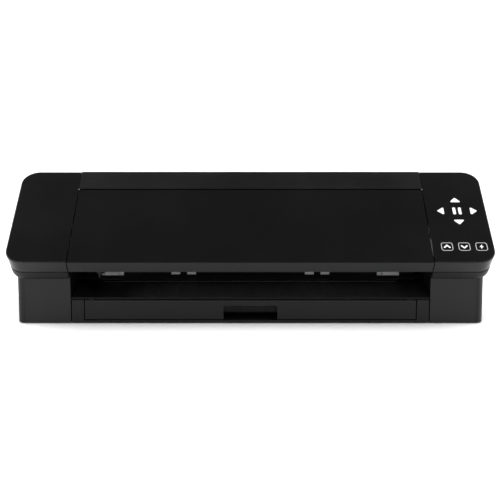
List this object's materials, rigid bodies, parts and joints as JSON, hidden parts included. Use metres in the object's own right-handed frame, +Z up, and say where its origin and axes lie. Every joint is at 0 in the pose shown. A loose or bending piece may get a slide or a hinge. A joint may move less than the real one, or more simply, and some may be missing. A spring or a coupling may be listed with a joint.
{
  "type": "vinyl cutter",
  "caption": "Desktop vinyl cutter: black wedge case, sliding lid over a tool carriage and feed rollers, touch panel, ribbed media shelf and roll-feeder drawer.",
  "frame": {"origin": "on the table, at the centre of the machine's footprint box", "axes": "+X to the user's right along the media width, +Y to the back, +Z up"},
  "size_m": [0.5716, 0.1949, 0.1722],
  "materials": {
    "gloss_black": "high gloss, moulded",
    "satin_black": "fine spark-eroded texture",
    "band_black": "semi-gloss moulded",
    "bay_black": "fine matte, inside the bay",
    "steel": "zinc-plated sheet and ground shafts",
    "black_steel": "black coated sheet",
    "rail_aluminium": "satin anodised",
    "roller_grey": "grey moulded rubber",
    "grit_steel": "ground shaft with gritted bands",
    "gear_white": "acetal",
    "carriage_white": "moulded, dark grey",
    "holder_grey": "moulded, mid grey",
    "tool_blue": "moulded tool body, muted blue",
    "blade_steel": "ground steel",
    "strip_grey": "low-friction strip",
    "belt_black": "toothed belt",
    "foot_rubber": "soft rubber",
    "board_green": "solder mask over glass fibre",
    "connector_black": "moulded connector body",
    "screw_steel": "zinc-plated"
  },
  "bodies": {
    "case": {"touch_panel": "gloss_black", "left_top_panel": "gloss_black", "rear_band": "band_black", "left_side_cover": "satin_black", "right_side_cover": "satin_black", "front_fascia": "satin_black", "rear_cover": "satin_black", "media_shelf": "satin_black", "base_tray": "satin_black", "lid_rails": "bay_black", "rubber_feet": "foot_rubber", "case_screws": "screw_steel", "right_side_frame": "black_steel", "left_side_frame": "black_steel", "cutting_platen": "bay_black", "cutting_strip": "strip_grey", "rear_media_guide": "bay_black", "feed_bushes": "bay_black", "feed_motor": "steel", "motor_mount": "steel", "pinch_brackets": "bay_black", "pinch_springs": "steel", "pinch_beam": "black_steel", "carriage_rail": "rail_aluminium", "drive_belt": "belt_black", "carriage_motor": "steel", "motor_bracket": "steel", "idler_bracket": "steel", "drawer_rails": "bay_black", "main_board": "board_green", "touch_board": "board_green", "power_inlet": "connector_black", "data_port": "connector_black", "power_switch": "connector_black", "crosscutter_rail": "rail_aluminium"},
    "lid": {"sliding_lid": "gloss_black", "lid_runners": "bay_black"},
    "drawer": {"drawer_front": "satin_black", "drawer_tray": "bay_black"},
    "front_feeder": {"front_feeder_roller": "roller_grey"},
    "rear_feeder": {"rear_feeder_roller": "roller_grey"},
    "feed": {"feed_roller": "grit_steel", "feed_gear": "gear_white"},
    "pinion": {"motor_pinion": "steel"},
    "pinch": {"pinch_shaft": "black_steel", "left_pinch_roller": "roller_grey", "middle_pinch_rollers": "roller_grey"},
    "pinch_right": {"right_pinch_roller": "roller_grey"},
    "carriage": {"carriage": "carriage_white"},
    "holder_1": {"tool_holder_1": "holder_grey", "blade_tool": "tool_blue", "blade": "blade_steel"},
    "holder_2": {"tool_holder_2": "holder_grey"},
    "lock_1": {"tool_lock_1": "tool_blue"},
    "lock_2": {"tool_lock_2": "tool_blue"},
    "drive_pulley": {"drive_pulley": "rail_aluminium"},
    "idler_pulley": {"idler_pulley": "rail_aluminium"},
    "power_button": {"power_button": "gloss_black"},
    "cross_cutter": {"crosscutter_slider": "holder_grey", "crosscutter_blade": "blade_steel"}
  },
  "joints": [
    {"name": "lid_slide", "type": "slide", "parent": "case", "child": "lid", "axis": [0, 0.891, 0.454], "range_m": [0, 0.105]},
    {"name": "drawer_slide", "type": "slide", "parent": "case", "child": "drawer", "axis": [0, -1, 0], "range_m": [0, 0.11]},
    {"name": "front_feeder_spin", "type": "hinge", "parent": "drawer", "child": "front_feeder", "pos_m": [0, -0.038, 0.014], "axis": [1, 0, 0], "continuous": true},
    {"name": "rear_feeder_spin", "type": "hinge", "parent": "drawer", "child": "rear_feeder", "pos_m": [0, 0.008, 0.014], "axis": [1, 0, 0], "continuous": true},
    {"name": "feed_spin", "type": "hinge", "parent": "case", "child": "feed", "pos_m": [0, 0.002, 0.0355], "axis": [1, 0, 0], "continuous": true},
    {"name": "pinion_spin", "type": "hinge", "parent": "case", "child": "pinion", "pos_m": [-0.23, 0.0261, 0.0355], "axis": [1, 0, 0], "continuous": true},
    {"name": "pinch_spin", "type": "hinge", "parent": "case", "child": "pinch", "pos_m": [0, 0.002, 0.04935], "axis": [1, 0, 0], "continuous": true},
    {"name": "roller_width_slide", "type": "slide", "parent": "pinch", "child": "pinch_right", "axis": [-1, 0, 0], "range_m": [0, 0.05]},
    {"name": "carriage_slide", "type": "slide", "parent": "case", "child": "carriage", "axis": [1, 0, 0], "range_m": [0, 0.342]},
    {"name": "tool_1_lift", "type": "slide", "parent": "carriage", "child": "holder_1", "axis": [0, 0, 1], "range_m": [-0.0025, 0], "stiffness_N_per_m": 300, "springref_m": 0.003},
    {"name": "tool_2_lift", "type": "slide", "parent": "carriage", "child": "holder_2", "axis": [0, 0, 1], "range_m": [-0.0025, 0], "stiffness_N_per_m": 300, "springref_m": 0.003},
    {"name": "tool_1_lock", "type": "slide", "parent": "holder_1", "child": "lock_1", "axis": [0, -1, 0], "range_m": [0, 0.004]},
    {"name": "tool_2_lock", "type": "slide", "parent": "holder_2", "child": "lock_2", "axis": [0, -1, 0], "range_m": [0, 0.004]},
    {"name": "drive_pulley_spin", "type": "hinge", "parent": "case", "child": "drive_pulley", "pos_m": [0.19, 0.024, 0.0985], "axis": [0, 0, 1], "continuous": true},
    {"name": "idler_pulley_spin", "type": "hinge", "parent": "case", "child": "idler_pulley", "pos_m": [-0.19, 0.024, 0.0985], "axis": [0, 0, 1], "continuous": true},
    {"name": "power_button_press", "type": "slide", "parent": "case", "child": "power_button", "axis": [0, -1, 0], "range_m": [0, 0.0015], "stiffness_N_per_m": 600, "springref_m": -0.0008},
    {"name": "cross_cutter_slide", "type": "slide", "parent": "case", "child": "cross_cutter", "axis": [-1, 0, 0], "range_m": [0, 0.33]}
  ],
  "couplings": [
    {"joint": "pinion_spin", "follows": "feed_spin", "ratio": -3},
    {"joint": "pinch_spin", "follows": "feed_spin", "ratio": -0.8},
    {"joint": "drive_pulley_spin", "follows": "carriage_slide", "rad_per_m": 166.67},
    {"joint": "idler_pulley_spin", "follows": "carriage_slide", "rad_per_m": 166.67}
  ]
}
